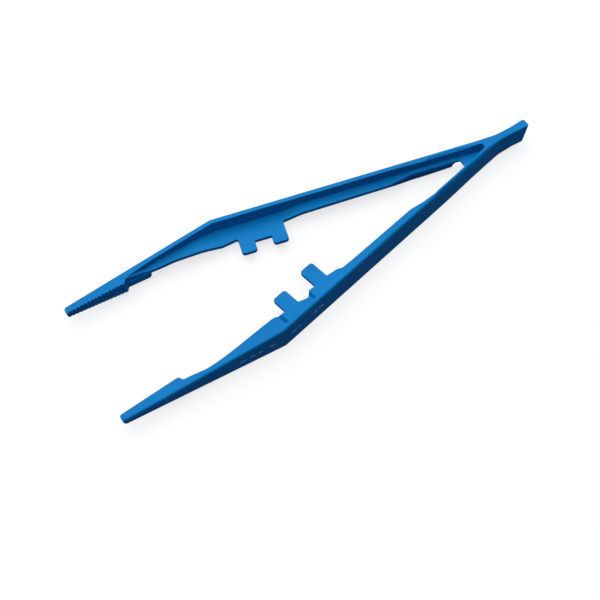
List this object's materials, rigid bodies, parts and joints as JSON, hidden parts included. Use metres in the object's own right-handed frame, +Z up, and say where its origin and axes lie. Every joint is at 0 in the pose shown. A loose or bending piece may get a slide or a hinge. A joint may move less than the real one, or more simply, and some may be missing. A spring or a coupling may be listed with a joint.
{
  "type": "tweezers",
  "caption": "Moulded spring tweezers: two channel arms joined at a flat tail, with overlapping guide tabs at the knee and toothed jaws.",
  "frame": {"origin": "under the middle of the outline's bounding box, on the surface the tweezers lie on", "axes": "+X from the tail to the tips, +Y towards the left arm, +Z up out of the surface"},
  "size_m": [0.1306, 0.0384, 0.0077],
  "materials": {
    "moulding": "semi-gloss blue injection-moulded plastic, lightly polished mould surface"
  },
  "bodies": {
    "tail": {"tail_fin": "moulding", "crotch_web": "moulding", "left_flange_root": "moulding", "right_flange_root": "moulding"},
    "left_arm": {"left_flange": "moulding", "left_web": "moulding", "left_guide_plate": "moulding", "left_rear_tab": "moulding", "left_front_tab": "moulding", "left_fore_flange": "moulding", "left_fore_web": "moulding", "left_jaw_root": "moulding", "left_jaw": "moulding"},
    "right_arm": {"right_flange": "moulding", "right_web": "moulding", "right_guide_plate": "moulding", "right_rear_tab": "moulding", "right_front_tab": "moulding", "right_fore_flange": "moulding", "right_fore_web": "moulding", "right_jaw_root": "moulding", "right_jaw": "moulding"}
  },
  "joints": [
    {"name": "left_flex", "type": "hinge", "parent": "tail", "child": "left_arm", "pos_m": [-0.04256, 0.00335, 0.00385], "axis": [0, 0, -1], "range_deg": [0, 8.3], "stiffness_Nm_per_rad": 0.4},
    {"name": "right_flex", "type": "hinge", "parent": "tail", "child": "right_arm", "pos_m": [-0.04256, -0.00335, 0.00385], "axis": [0, 0, 1], "range_deg": [0, 8.3], "stiffness_Nm_per_rad": 0.4}
  ]
}
